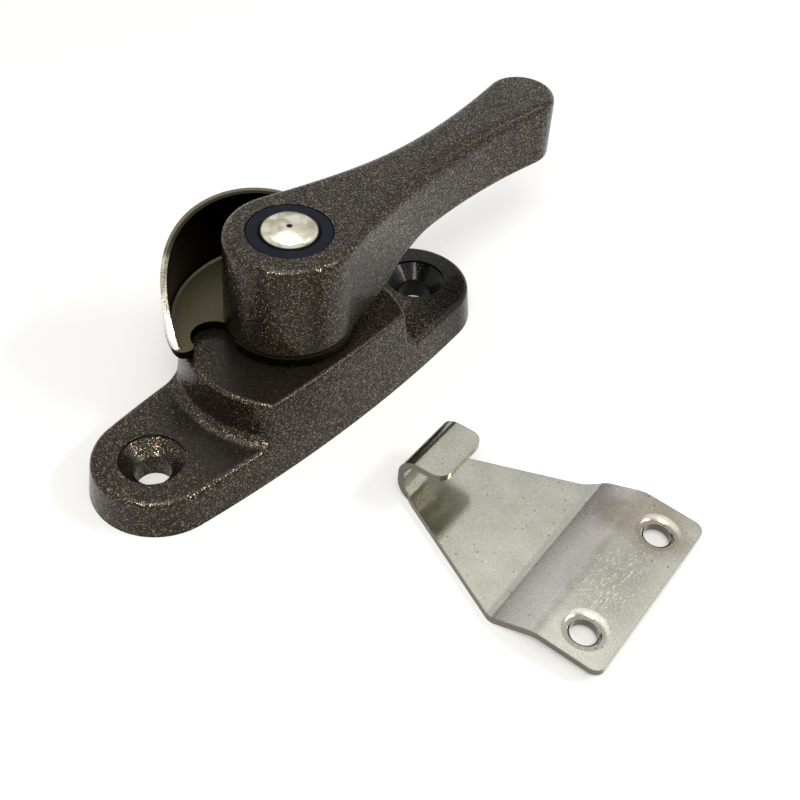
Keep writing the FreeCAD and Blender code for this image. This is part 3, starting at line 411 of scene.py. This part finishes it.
def sheet_marks(tree, spot, own, skinned, colours):
    """Mark the sheet with dark pits, and scratches that are densest between the screw holes."""
    pits = add(tree, "ShaderNodeTexVoronoi", inputs={"Vector": spot, "Scale": per_mm(0.75)})
    pit_shade = add(tree, "ShaderNodeSeparateColor", inputs={"Color": pits.outputs["Color"]})
    pit_size = add(tree, "ShaderNodeMapRange", inputs={
        "Value": pit_shade.outputs[0], "From Min": 0.45, "From Max": 1.0, "To Max": 0.2})
    pit_mask = add(tree, "ShaderNodeMath", {"operation": "LESS_THAN"}, {
        0: pits.outputs["Distance"], 1: pit_size.outputs[0]})
    pit_depth = add(tree, "ShaderNodeMath", {"operation": "MULTIPLY"}, {
        0: pit_mask.outputs[0], 1: 0.75})
    pitted = add(tree, "ShaderNodeMix", {"data_type": "RGBA"}, {
        0: pit_depth.outputs[0], 6: skinned.outputs[2], 7: opaque(colours.stainless_pit)})
    # Scratches are hairlines of 0.02 mm; they are drawn 0.1 mm wide to show.
    hairlines = []
    for number, angle in enumerate((0.4, 1.5, 2.6)):
        laid = add(tree, "ShaderNodeMapping", inputs={
            "Vector": spot, "Location": (number * 0.7, 0.0, 0.0),
            "Rotation": (0.0, 0.0, angle), "Scale": (1.0, 6.0, 1.0)})
        hair = add(tree, "ShaderNodeTexNoise", inputs={
            "Vector": laid.outputs[0], "Scale": per_mm(0.7), "Detail": 1.0})
        hairlines.append(add(tree, "ShaderNodeMapRange", inputs={
            "Value": hair.outputs[0], "From Min": 0.66, "From Max": 0.72}))
    scratches = hairlines[0]
    for hairline in hairlines[1:]:
        scratches = add(tree, "ShaderNodeMath", {"operation": "MAXIMUM"}, {
            0: scratches.outputs[0], 1: hairline.outputs[0]})
    between_holes = add(tree, "ShaderNodeMapping", {"vector_type": "TEXTURE"}, {
        "Vector": own.outputs[0],
        "Location": (-1.0 * MM, 1.0 * MM, 2.0 * MM),
        "Scale": (9.0 * MM, 5.0 * MM, 9.0 * MM)})
    reach = add(tree, "ShaderNodeVectorMath", {"operation": "LENGTH"}, {
        0: between_holes.outputs[0]})
    worn_dark = add(tree, "ShaderNodeMapRange", inputs={
        "Value": reach.outputs["Value"], "From Min": 1.3, "From Max": 0.6, "To Max": 0.5})
    dulled = add(tree, "ShaderNodeMix", {"data_type": "RGBA"}, {
        0: worn_dark.outputs[0], 6: pitted.outputs[2], 7: opaque(colours.stainless_shade)})
    density = add(tree, "ShaderNodeMapRange", inputs={
        "Value": reach.outputs["Value"],
        "From Min": 1.0, "From Max": 0.4, "To Min": 0.22, "To Max": 0.6})
    faint = add(tree, "ShaderNodeMath", {"operation": "MULTIPLY"}, {
        0: scratches.outputs[0], 1: density.outputs[0]})
    return add(tree, "ShaderNodeMix", {"data_type": "RGBA"}, {
        0: faint.outputs[0], 6: dulled.outputs[2], 7: opaque(colours.stainless_bright)})


def painted_edge_shade(tree, facing):
    """Mark the painted shade on the keeper's long cut sides, and more faintly on every sharp edge.
    """
    softened = add(tree, "ShaderNodeBevel", {"samples": 8}, {"Radius": 0.4 * MM})
    square = add(tree, "ShaderNodeNewGeometry").outputs["Normal"]
    match = add(tree, "ShaderNodeVectorMath", {"operation": "DOT_PRODUCT"}, {
        0: softened.outputs[0], 1: square})
    edge = add(tree, "ShaderNodeMapRange", inputs={
        "Value": match.outputs["Value"], "From Min": 0.96, "From Max": 0.85, "To Max": 0.4})
    faced = add(tree, "ShaderNodeSeparateXYZ", inputs={"Vector": facing})
    level = add(tree, "ShaderNodeMath", {"operation": "ABSOLUTE"}, {0: faced.outputs[2]})
    upright_side = add(tree, "ShaderNodeMapRange", inputs={
        "Value": level.outputs[0], "From Min": 0.5, "From Max": 0.3, "To Max": 0.85})
    sideways = add(tree, "ShaderNodeMath", {"operation": "ABSOLUTE"}, {0: faced.outputs[0]})
    long_side = add(tree, "ShaderNodeMapRange", inputs={
        "Value": sideways.outputs[0], "From Min": 0.15, "From Max": 0.3})
    cut = add(tree, "ShaderNodeMath", {"operation": "MULTIPLY"}, {
        0: upright_side.outputs[0], 1: long_side.outputs[0]})
    return add(tree, "ShaderNodeMath", {"operation": "MAXIMUM"}, {
        0: cut.outputs[0], 1: edge.outputs[0]})


def rolled_stainless(colours):
    """Cold rolled stainless sheet, blanked, bent and tumbled.

    Tumbling leaves a finely peened grey skin with small dark pits and short scratches, densest
    between the screw holes. The stretched step is faintly pink and heat has browned one hole. The
    cut sides and sharp edges are painted dark as shade along the sheet's edges.
    """
    material, tree = new_material("Tumbled stainless sheet")
    place = add(tree, "ShaderNodeTexCoord")
    spot, facing = place.outputs["Object"], place.outputs["Normal"]
    # The keeper's own place is measured from between its screw holes, with Y to its hook.
    own = add(tree, "ShaderNodeMapping", {"vector_type": "TEXTURE"}, {
        "Vector": spot, "Location": KEEPER_SCREWS, "Rotation": KEEPER_TURN})
    toned = sheet_tones(tree, spot, own, colours)
    # Tumbling peens the skin finely; it is drawn at 0.17 mm to show.
    peened = add(tree, "ShaderNodeTexNoise", inputs={
        "Vector": spot, "Scale": per_mm(0.17), "Detail": 2.0})
    hollows = add(tree, "ShaderNodeMapRange", inputs={
        "Value": peened.outputs[0], "From Min": 0.35, "From Max": 0.65, "To Max": 0.35})
    skinned = add(tree, "ShaderNodeMix", {"data_type": "RGBA"}, {
        0: hollows.outputs[0], 6: toned.outputs[2], 7: opaque(colours.stainless_shade)})
    scratched = sheet_marks(tree, spot, own, skinned, colours)
    # Painted shade: the cut sides and sharp edges are painted dark.
    edge_shade = painted_edge_shade(tree, facing)
    edged = add(tree, "ShaderNodeMix", {"data_type": "RGBA"}, {
        0: edge_shade.outputs[0], 6: scratched.outputs[2], 7: opaque(colours.stainless_edge_shade)})
    bump = add(tree, "ShaderNodeBump", inputs={
        "Height": peened.outputs[0], "Strength": 0.25, "Distance": 0.02 * MM})
    surface = add(tree, "ShaderNodeBsdfPrincipled", inputs={
        "Base Color": edged.outputs[2],
        "Metallic": 1.0,
        "Roughness": 0.18,
        "Normal": bump.outputs[0],
    })
    finish(tree, surface)
    return material


def plain_metal(name, colour, roughness, grain_mm):
    """A working metal surface: tumbled, oiled or hardened, told apart by tone and gloss."""
    material, tree = new_material(name)
    spot = add(tree, "ShaderNodeTexCoord").outputs["Object"]
    grain = add(tree, "ShaderNodeTexNoise", inputs={
        "Vector": spot, "Scale": per_mm(grain_mm), "Detail": 4.0})
    darker = tuple(0.6 * c for c in colour)
    tone = add(tree, "ShaderNodeValToRGB", inputs={"Fac": grain.outputs[0]}, stops=[
        (0.35, opaque(darker)),
        (0.65, opaque(colour)),
    ])
    bump = add(tree, "ShaderNodeBump", inputs={
        "Height": grain.outputs[0], "Strength": 0.3, "Distance": 0.02 * MM})
    surface = add(tree, "ShaderNodeBsdfPrincipled", inputs={
        "Base Color": tone.outputs[0],
        "Metallic": 1.0,
        "Roughness": roughness,
        "Normal": bump.outputs[0],
    })
    finish(tree, surface)
    return material


# Properties

class LockColours(bpy.types.PropertyGroup):
    """The colours of the lock's finishes."""

    enamel_binder: FloatVectorProperty(
        name="Enamel binder", description="Dark resin between the flakes",
        subtype="COLOR", min=0.0, max=1.0, default=linear("#080605"))
    enamel_body: FloatVectorProperty(
        name="Enamel body", description="Middle tone of the enamel",
        subtype="COLOR", min=0.0, max=1.0, default=linear("#1f1b18"))
    enamel_flake: FloatVectorProperty(
        name="Enamel flake", description="Bronze flake that faces the light",
        subtype="COLOR", min=0.0, max=1.0, default=linear("#3f382f"))
    enamel_glint: FloatVectorProperty(
        name="Enamel glint", description="Largest and brightest flakes",
        subtype="COLOR", min=0.0, max=1.0, default=linear("#95856a"))
    # Painted shade: near black standing in for the lever's shadow over the base's far end.
    enamel_painted_shade: FloatVectorProperty(
        name="Painted lever shade", description="Enamel without flake over the base's far end",
        subtype="COLOR", min=0.0, max=1.0, default=linear("#040505"))
    plate_bright: FloatVectorProperty(
        name="Bright plate", description="Clean plate on the crescent",
        subtype="COLOR", min=0.0, max=1.0, default=linear("#e4dfcc"))
    plate_dull: FloatVectorProperty(
        name="Dull plate", description="Clouded plate on the crescent",
        subtype="COLOR", min=0.0, max=1.0, default=linear("#5f594a"))
    # Painted shade and reflection inside the crescent's wall, on its cut sides and on the rim's
    # inner half.
    plate_painted_shade: FloatVectorProperty(
        name="Inner plate", description="Painted shade and reflection inside the crescent's wall",
        subtype="COLOR", min=0.0, max=1.0, default=linear("#14120d"))
    plate_fleck: FloatVectorProperty(
        name="Plate fleck", description="Dark flecks in the plate",
        subtype="COLOR", min=0.0, max=1.0, default=linear("#453f30"))
    # The cup floor's darker olive is partly painted reflection of the dark wall, clouded at
    # random.
    plate_floor: FloatVectorProperty(
        name="Cup floor", description="Dull darkened plate on the crescent's floor",
        subtype="COLOR", min=0.0, max=1.0, default=linear("#6a654f"))
    plate_floor_cloud: FloatVectorProperty(
        name="Floor cloud", description="Darkest of the film on the crescent's floor",
        subtype="COLOR", min=0.0, max=1.0, default=linear("#38352a"))
    nickel: FloatVectorProperty(
        name="Nickel", description="Plate on the pivot pin",
        subtype="COLOR", min=0.0, max=1.0, default=linear("#d6d0c0"))
    nickel_rubbed: FloatVectorProperty(
        name="Rubbed nickel", description="Worn patches on the pivot pin",
        subtype="COLOR", min=0.0, max=1.0, default=linear("#aaa28d"))
    nickel_score: FloatVectorProperty(
        name="Scored nickel", description="Small dark scores in the pin's plate",
        subtype="COLOR", min=0.0, max=1.0, default=linear("#4a4538"))
    dirt: FloatVectorProperty(
        name="Dirt", description="Old grease in marks and scratches",
        subtype="COLOR", min=0.0, max=1.0, default=linear("#17140f"))
    collar: FloatVectorProperty(
        name="Collar", description="Moulding round the pin's head",
        subtype="COLOR", min=0.0, max=1.0, default=linear("#0a0f17"))
    washer: FloatVectorProperty(
        name="Thrust washer", description="Moulding under the crescent cam",
        subtype="COLOR", min=0.0, max=1.0, default=linear("#d9d7cd"))
    stainless: FloatVectorProperty(
        name="Stainless", description="Clean keeper sheet",
        subtype="COLOR", min=0.0, max=1.0, default=linear("#b7b7ab"))
    stainless_dull: FloatVectorProperty(
        name="Dull stainless", description="Clouded keeper sheet",
        subtype="COLOR", min=0.0, max=1.0, default=linear("#a7a69a"))
    stainless_shade: FloatVectorProperty(
        name="Peened stainless", description="Hollows of the keeper's finely peened skin",
        subtype="COLOR", min=0.0, max=1.0, default=linear("#7f7c72"))
    stainless_step: FloatVectorProperty(
        name="Stretched stainless", description="Keeper sheet where it is stepped",
        subtype="COLOR", min=0.0, max=1.0, default=linear("#d2ccc8"))
    stainless_heat: FloatVectorProperty(
        name="Heated stainless", description="Keeper sheet browned round a hole",
        subtype="COLOR", min=0.0, max=1.0, default=linear("#8f8474"))
    stainless_pit: FloatVectorProperty(
        name="Pits", description="Small dark pits in the keeper sheet",
        subtype="COLOR", min=0.0, max=1.0, default=linear("#55534a"))
    stainless_bright: FloatVectorProperty(
        name="Scratches", description="Fresh scratches in the keeper sheet",
        subtype="COLOR", min=0.0, max=1.0, default=linear("#e9eadf"))
    # Painted shade along the keeper's cut sides and sharp edges.
    stainless_edge_shade: FloatVectorProperty(
        name="Sheared edge", description="Painted edge shade of the keeper sheet",
        subtype="COLOR", min=0.0, max=1.0, default=linear("#5d5a50"))
    bearing_bronze: FloatVectorProperty(
        name="Bearing bronze", description="Sintered bush in the base",
        subtype="COLOR", min=0.0, max=1.0, default=linear("#a97c4c"))
    spring_steel: FloatVectorProperty(
        name="Spring steel", description="Hardened springs and index cam",
        subtype="COLOR", min=0.0, max=1.0, default=linear("#6d6f75"))
    rivet_steel: FloatVectorProperty(
        name="Rivet steel", description="Rivets and backing washer",
        subtype="COLOR", min=0.0, max=1.0, default=linear("#a6a49e"))


class LockStudio(bpy.types.PropertyGroup):
    """The camera, the floor and the lamps."""

    azimuth: FloatProperty(
        name="Azimuth", description="Camera's turn round the vertical from straight in front",
        subtype="ANGLE", default=math.radians(-51.841))
    elevation: FloatProperty(
        name="Elevation", description="Camera's height angle over the floor",
        subtype="ANGLE", default=math.radians(45.044))
    roll: FloatProperty(
        name="Roll", description="Camera's lean about its own axis",
        subtype="ANGLE", default=math.radians(4.513))
    distance: FloatProperty(
        name="Distance", description="Camera's distance from the point it looks at",
        subtype="DISTANCE", unit="LENGTH", default=0.17094)
    target: FloatVectorProperty(
        name="Target", description="Point the camera looks at",
        subtype="XYZ", unit="LENGTH", default=(-0.00127, -0.01934, 0.00887))
    lens: FloatProperty(
        name="Lens", description="Focal length in millimetres on a sensor 36 mm wide",
        default=55.615)
    shift: FloatVectorProperty(
        name="Shift", description="Camera's shift across and up, in sensor widths",
        size=2, default=(0.0147, 0.0193))
    floor_width: FloatProperty(
        name="Floor width", description="Side of the square floor",
        subtype="DISTANCE", unit="LENGTH", default=3.0)
    floor_gap: FloatProperty(
        name="Floor gap", description="Gap that keeps the floor from touching the object",
        subtype="DISTANCE", unit="LENGTH", default=0.02 * MM)
    floor_colour: FloatVectorProperty(
        name="Floor colour", description="Colour of the matt board",
        subtype="COLOR", min=0.0, max=1.0, default=linear("#e6e6e6"))
    floor_lift: FloatProperty(
        name="Floor lift", description="Glow that keeps the floor white to the camera",
        default=0.28)
    lamp_colour: FloatVectorProperty(
        name="Lamp colour", description="Slightly warm white of the lamps",
        subtype="COLOR", min=0.0, max=1.0, default=linear("#fffaf2"))
    lamp_distance: FloatProperty(
        name="Lamp distance", description="Distance from each lamp to the camera's target",
        subtype="DISTANCE", unit="LENGTH", default=0.6)
    key_place: FloatVectorProperty(
        name="Key place", description="Azimuth and elevation of the large lamp overhead",
        size=2, unit="ROTATION", default=(math.radians(-50.0), math.radians(70.0)))
    key_power: FloatProperty(
        name="Key power", description="Power of the large lamp overhead",
        subtype="POWER", default=0.6)
    key_size: FloatProperty(
        name="Key size", description="Side of the square lamp overhead",
        subtype="DISTANCE", unit="LENGTH", default=0.35)
    front_place: FloatVectorProperty(
        name="Front strip's place", description="Azimuth and elevation of the front strip lamp",
        size=2, unit="ROTATION", default=(math.radians(-57.0), math.radians(58.0)))
    side_place: FloatVectorProperty(
        name="Side strip's place", description="Azimuth and elevation of the side strip lamp",
        size=2, unit="ROTATION", default=(math.radians(40.0), math.radians(42.0)))
    strip_power: FloatProperty(
        name="Strip power", description="Power of each of the two strip lamps",
        subtype="POWER", default=1.15)
    strip_size: FloatProperty(
        name="Strip length", description="Long side of each strip lamp, five times its short side",
        subtype="DISTANCE", unit="LENGTH", default=0.25)
    fill_level: FloatProperty(
        name="Fill level", description="Level of the room's own light", default=0.5)
    ceiling_level: FloatProperty(
        name="Ceiling level",
        description="How much brighter the ceiling is mirrored than the walls",
        default=1.6)


# Operators

class LOCK_OT_castings(bpy.types.Operator):
    """Enamel the base and the lever"""

    bl_idname = "lock.castings"
    bl_label = "Enamelled castings"

    def execute(self, context):
        dress(["base", "lever"], flake_enamel(context.scene.lock_colours))
        return {"FINISHED"}


class LOCK_OT_crescent(bpy.types.Operator):
    """Plate the crescent cam"""

    bl_idname = "lock.crescent"
    bl_label = "Plated crescent"

    def execute(self, context):
        dress(["crescent_cam"], bright_zinc(context.scene.lock_colours))
        return {"FINISHED"}


class LOCK_OT_pin(bpy.types.Operator):
    """Buff the pivot pin and set the collar round it"""

    bl_idname = "lock.pin"
    bl_label = "Pin and collar"

    def execute(self, context):
        colours = context.scene.lock_colours
        dress(["pivot_pin"], buffed_nickel(colours))
        dress(["pin_collar"],
              moulded_acetal("Black moulded acetal", colours.collar, roughness=0.55))
        return {"FINISHED"}


class LOCK_OT_keeper(bpy.types.Operator):
    """Finish the sheet keeper"""

    bl_idname = "lock.keeper"
    bl_label = "Stainless keeper"

    def execute(self, context):
        dress(["keeper"], rolled_stainless(context.scene.lock_colours))
        return {"FINISHED"}


class LOCK_OT_works(bpy.types.Operator):
    """Finish the parts inside the base"""

    bl_idname = "lock.works"
    bl_label = "Inner works"

    def execute(self, context):
        colours = context.scene.lock_colours
        dress(["thrust_washer"],
              moulded_acetal("White moulded acetal", colours.washer, roughness=0.45))
        dress(["pivot_bush"], plain_metal(
            "Oiled sintered bronze", colours.bearing_bronze, roughness=0.42, grain_mm=0.3))
        dress(["disc_springs", "detent_spring", "index_cam"], plain_metal(
            "Hardened spring steel", colours.spring_steel, roughness=0.33, grain_mm=0.8))
        dress(["spring_rivets", "backing_washer"], plain_metal(
            "Zinc plated rivet steel", colours.rivet_steel, roughness=0.38, grain_mm=0.5))
        return {"FINISHED"}


class LOCK_OT_studio(bpy.types.Operator):
    """Set the camera, floor and lamps"""

    bl_idname = "lock.studio"
    bl_label = "Studio"

    def execute(self, context):
        studio = context.scene.lock_studio
        make_camera(context.scene, studio)
        make_floor(studio)
        make_lamps(context.scene, studio)
        context.scene.view_settings.view_transform = "Standard"
        return {"FINISHED"}


def pointing(azimuth, elevation):
    """Give the direction at an azimuth from straight in front and a height angle."""
    return Vector((
        math.sin(azimuth) * math.cos(elevation),
        -math.cos(azimuth) * math.cos(elevation),
        math.sin(elevation),
    ))


def make_camera(scene, studio):
    """Set the camera at the photograph's angle."""
    azimuth, elevation, roll = studio.azimuth, studio.elevation, studio.roll
    back = pointing(azimuth, elevation)
    level = Vector((0.0, 0.0, 1.0)).cross(back).normalized()
    upright = back.cross(level)
    right = math.cos(roll) * level + math.sin(roll) * upright
    up = math.cos(roll) * upright - math.sin(roll) * level
    turn = Matrix((right, up, back)).transposed().to_4x4()
    data = bpy.data.cameras.new("Camera")
    data.lens = studio.lens
    data.sensor_width = 36.0
    data.shift_x, data.shift_y = studio.shift
    data.clip_start = 0.005
    camera = bpy.data.objects.new("Camera", data)
    camera.matrix_world = Matrix.Translation(Vector(studio.target) + studio.distance * back) @ turn
    scene.collection.objects.link(camera)
    scene.camera = camera


def seen_by_camera(tree, path):
    """Give 1 to what the camera sees, straight, mirrored or through glass, and 0 to the rest."""
    seen = add(tree, "ShaderNodeMath", {"operation": "MAXIMUM"}, {
        0: path.outputs["Is Camera Ray"], 1: path.outputs["Is Glossy Ray"]})
    return add(tree, "ShaderNodeMath", {"operation": "MAXIMUM"}, {
        0: seen.outputs[0], 1: path.outputs["Is Transmission Ray"]})


def make_floor(studio):
    """Lay a plain pale floor that stays white and keeps the shadow."""
    material, tree = new_material("Matt white studio board")
    shown = seen_by_camera(tree, add(tree, "ShaderNodeLightPath"))
    lift = add(tree, "ShaderNodeMath", {"operation": "MULTIPLY"}, {
        0: shown.outputs[0], 1: studio.floor_lift})
    board = add(tree, "ShaderNodeBsdfDiffuse", inputs={"Color": opaque(studio.floor_colour)})
    glow = add(tree, "ShaderNodeEmission", inputs={"Strength": lift.outputs[0]})
    both = add(tree, "ShaderNodeAddShader", inputs={0: board.outputs[0], 1: glow.outputs[0]})
    finish(tree, both)
    half = studio.floor_width / 2
    corners = ((-half, -half), (half, -half), (half, half), (-half, half))
    mesh = bpy.data.meshes.new("studio_floor")
    shape = bmesh.new()
    shape.faces.new([shape.verts.new((x, y, 0.0)) for x, y in corners])
    shape.to_mesh(mesh)
    shape.free()
    mesh.materials.append(material)
    floor = bpy.data.objects.new("studio_floor", mesh)
    floor.location.z = CAD_BOX[0][2] - studio.floor_gap
    bpy.context.scene.collection.objects.link(floor)


def hang_lamp(scene, studio, name, place, sides, power):
    """Hang an oblong lamp at an azimuth and elevation, facing the camera's target."""
    lamp = bpy.data.lights.new(name, "AREA")
    lamp.shape = "RECTANGLE"
    lamp.size, lamp.size_y = sides
    lamp.energy = power
    lamp.color = studio.lamp_colour
    hung = bpy.data.objects.new(name, lamp)
    towards = pointing(place[0], place[1])
    hung.location = Vector(studio.target) + studio.lamp_distance * towards
    hung.rotation_euler = towards.to_track_quat("Z", "Y").to_euler()
    scene.collection.objects.link(hung)


def make_lamps(scene, studio):
    """Hang a large soft lamp overhead and a strip on either side, in an evenly lit room."""
    square = (studio.key_size, studio.key_size)
    strip = (studio.strip_size, studio.strip_size / 5)
    hang_lamp(scene, studio, "Key", studio.key_place, square, studio.key_power)
    hang_lamp(scene, studio, "Front strip", studio.front_place, strip, studio.strip_power)
    hang_lamp(scene, studio, "Side strip", studio.side_place, strip, studio.strip_power)
    world = bpy.data.worlds.new("Studio")
    world.use_nodes = True
    tree = world.node_tree
    tree.nodes.clear()
    path = add(tree, "ShaderNodeLightPath")
    shown = seen_by_camera(tree, path)
    level = add(tree, "ShaderNodeMapRange", inputs={
        "Value": shown.outputs[0], "To Min": studio.fill_level, "To Max": 1.0})
    # Only what is mirrored sees the ceiling brighter than the walls.
    generated = add(tree, "ShaderNodeTexCoord").outputs["Generated"]
    direction = add(tree, "ShaderNodeSeparateXYZ", inputs={"Vector": generated})
    ceiling = add(tree, "ShaderNodeMapRange", {"interpolation_type": "SMOOTHSTEP"}, {
        "Value": direction.outputs[2],
        "From Min": 0.72, "From Max": 0.95, "To Max": studio.ceiling_level})
    mirrored = add(tree, "ShaderNodeMath", {"operation": "MULTIPLY"}, {
        0: ceiling.outputs[0], 1: path.outputs["Is Glossy Ray"]})
    strength = add(tree, "ShaderNodeMath", {"operation": "ADD"}, {
        0: level.outputs[0], 1: mirrored.outputs[0]})
    sky = add(tree, "ShaderNodeBackground", inputs={
        "Color": (1.0, 1.0, 1.0, 1.0), "Strength": strength.outputs[0]})
    add(tree, "ShaderNodeOutputWorld", inputs={"Surface": sky.outputs[0]})
    scene.world = world


# Panel

OPERATORS = (
    LOCK_OT_castings,
    LOCK_OT_crescent,
    LOCK_OT_pin,
    LOCK_OT_keeper,
    LOCK_OT_works,
    LOCK_OT_studio,
)


class LOCK_PT_panel(bpy.types.Panel):
    """Lists the lock's pieces, colours and studio"""

    bl_idname = "LOCK_PT_panel"
    bl_label = "Crescent lock"
    bl_space_type = "VIEW_3D"
    bl_region_type = "UI"
    bl_category = "Crescent lock"

    def draw(self, context):
        layout = self.layout
        for operator in OPERATORS:
            layout.operator(operator.bl_idname)
        for group in (context.scene.lock_colours, context.scene.lock_studio):
            box = layout.box()
            for name in group.bl_rna.properties.keys():
                if name not in ("rna_type", "name"):
                    box.prop(group, name)


CLASSES = (LockColours, LockStudio) + OPERATORS + (LOCK_PT_panel,)


def register():
    """Register the classes and the scene's settings."""
    for cls in CLASSES:
        bpy.utils.register_class(cls)
    bpy.types.Scene.lock_colours = PointerProperty(type=LockColours)
    bpy.types.Scene.lock_studio = PointerProperty(type=LockStudio)


def unregister():
    """Remove the settings and the classes."""
    del bpy.types.Scene.lock_studio
    del bpy.types.Scene.lock_colours
    for cls in reversed(CLASSES):
        bpy.utils.unregister_class(cls)


def main():
    """Dress the lock and set the studio."""
    register()
    bpy.ops.lock.castings()
    bpy.ops.lock.crescent()
    bpy.ops.lock.pin()
    bpy.ops.lock.keeper()
    bpy.ops.lock.works()
    bpy.ops.lock.studio()


if __name__ == "__main__":
    main()
